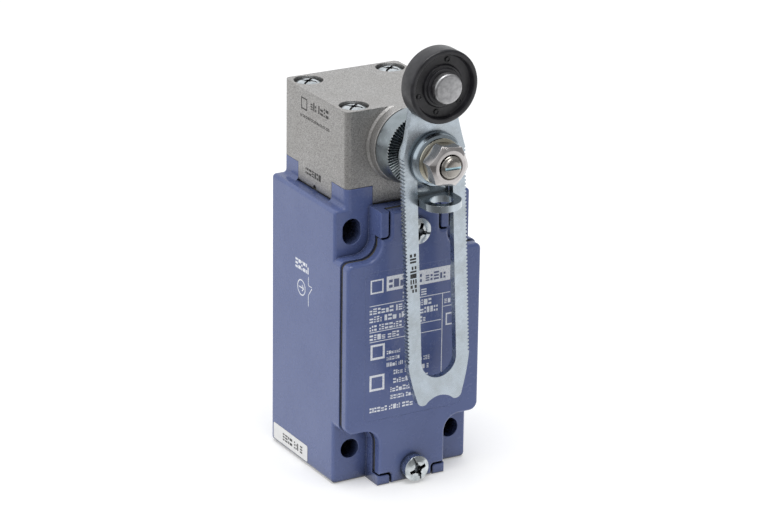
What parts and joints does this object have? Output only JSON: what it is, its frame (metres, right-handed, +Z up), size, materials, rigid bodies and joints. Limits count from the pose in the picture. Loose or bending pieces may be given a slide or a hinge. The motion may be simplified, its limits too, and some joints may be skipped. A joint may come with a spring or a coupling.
{
  "type": "limit switch",
  "caption": "Metal-cased limit switch with a square rotary head, a slotted adjustable lever with a plastic roller, and a snap contact block behind a screwed front cover.",
  "frame": {"origin": "middle of the 30 x 60 mm fixing pattern, on the flat back face", "axes": "+X to the right seen from the cover, +Y out of the back face towards the wall, +Z up towards the head"},
  "size_m": [0.0401, 0.059, 0.1214],
  "materials": {
    "casing_paint": "semi-gloss blue-violet paint with a slight orange peel",
    "head_zinc": "fine-grained bare die-cast zinc",
    "seal_rubber": "matt",
    "screw_steel": "bright zinc plate",
    "label_film": "satin film",
    "hub_zinc": "blue zinc plate",
    "turned_steel": "turned and plated",
    "lever_zinc": "blue zinc plate, slightly mottled",
    "nut_steel": "bright",
    "roller_plastic": "moulded, near black",
    "bush_bronze": "sintered bronze, matt",
    "cam_steel": "sintered steel, matt",
    "white_plastic": "moulded",
    "spring_steel": "drawn wire",
    "block_plastic": "moulded",
    "cap_plastic": "moulded",
    "contact_brass": "satin",
    "clamp_steel": "zinc plate"
  },
  "bodies": {
    "casing": {"body_casing": "casing_paint", "front_cover": "casing_paint", "cover_gasket": "seal_rubber", "cover_screws": "screw_steel", "side_label": "label_film", "head_casing": "head_zinc", "head_gasket": "seal_rubber", "head_screws": "screw_steel", "shaft_bush": "bush_bronze", "shaft_seal": "seal_rubber", "follower_guide": "white_plastic", "contact_base": "block_plastic", "contact_cap": "cap_plastic", "fixed_contacts": "contact_brass", "terminal_clamps": "clamp_steel", "terminal_screws": "screw_steel", "block_screws": "screw_steel", "earth_clamp": "clamp_steel", "earth_screw": "screw_steel"},
    "shaft_assembly": {"shaft": "turned_steel", "serrated_hub": "hub_zinc", "lever_bracket": "lever_zinc", "dish_washer": "lever_zinc", "cone_washer": "lever_zinc", "clamp_nut": "nut_steel", "drive_cam": "cam_steel", "cam_pin": "turned_steel", "retaining_ring": "turned_steel"},
    "lever": {"lever_plate": "lever_zinc", "roller_axle": "turned_steel", "roller_washer": "lever_zinc"},
    "roller": {"roller": "roller_plastic"},
    "follower": {"cam_follower": "white_plastic", "return_spring": "spring_steel"},
    "contacts": {"contact_carrier": "white_plastic", "break_bridge": "contact_brass", "make_bridge": "contact_brass", "bridge_spring": "spring_steel", "carrier_spring": "spring_steel"}
  },
  "joints": [
    {"name": "shaft_turn", "type": "hinge", "parent": "casing", "child": "shaft_assembly", "pos_m": [0, 0, 0.0521], "axis": [0, 1, 0], "range_deg": [-75, 75]},
    {"name": "lever_extension", "type": "slide", "parent": "shaft_assembly", "child": "lever", "axis": [-0.0427, 0, 0.9991], "range_m": [0, 0.043]},
    {"name": "roller_spin", "type": "hinge", "parent": "lever", "child": "roller", "pos_m": [-0.00087, -0.0528, 0.07248], "axis": [0, 1, 0], "continuous": true},
    {"name": "follower_press", "type": "slide", "parent": "casing", "child": "follower", "axis": [0, 0, 1], "range_m": [-0.003, 0], "stiffness_N_per_m": 1500, "springref_m": 0.001, "deforming": ["return_spring"]},
    {"name": "contact_travel", "type": "slide", "parent": "casing", "child": "contacts", "axis": [0, 0, 1], "range_m": [-0.003, 0], "deforming": ["carrier_spring"]}
  ],
  "couplings": [
    {"joint": "contact_travel", "follows": "follower_press", "ratio": 1}
  ]
}
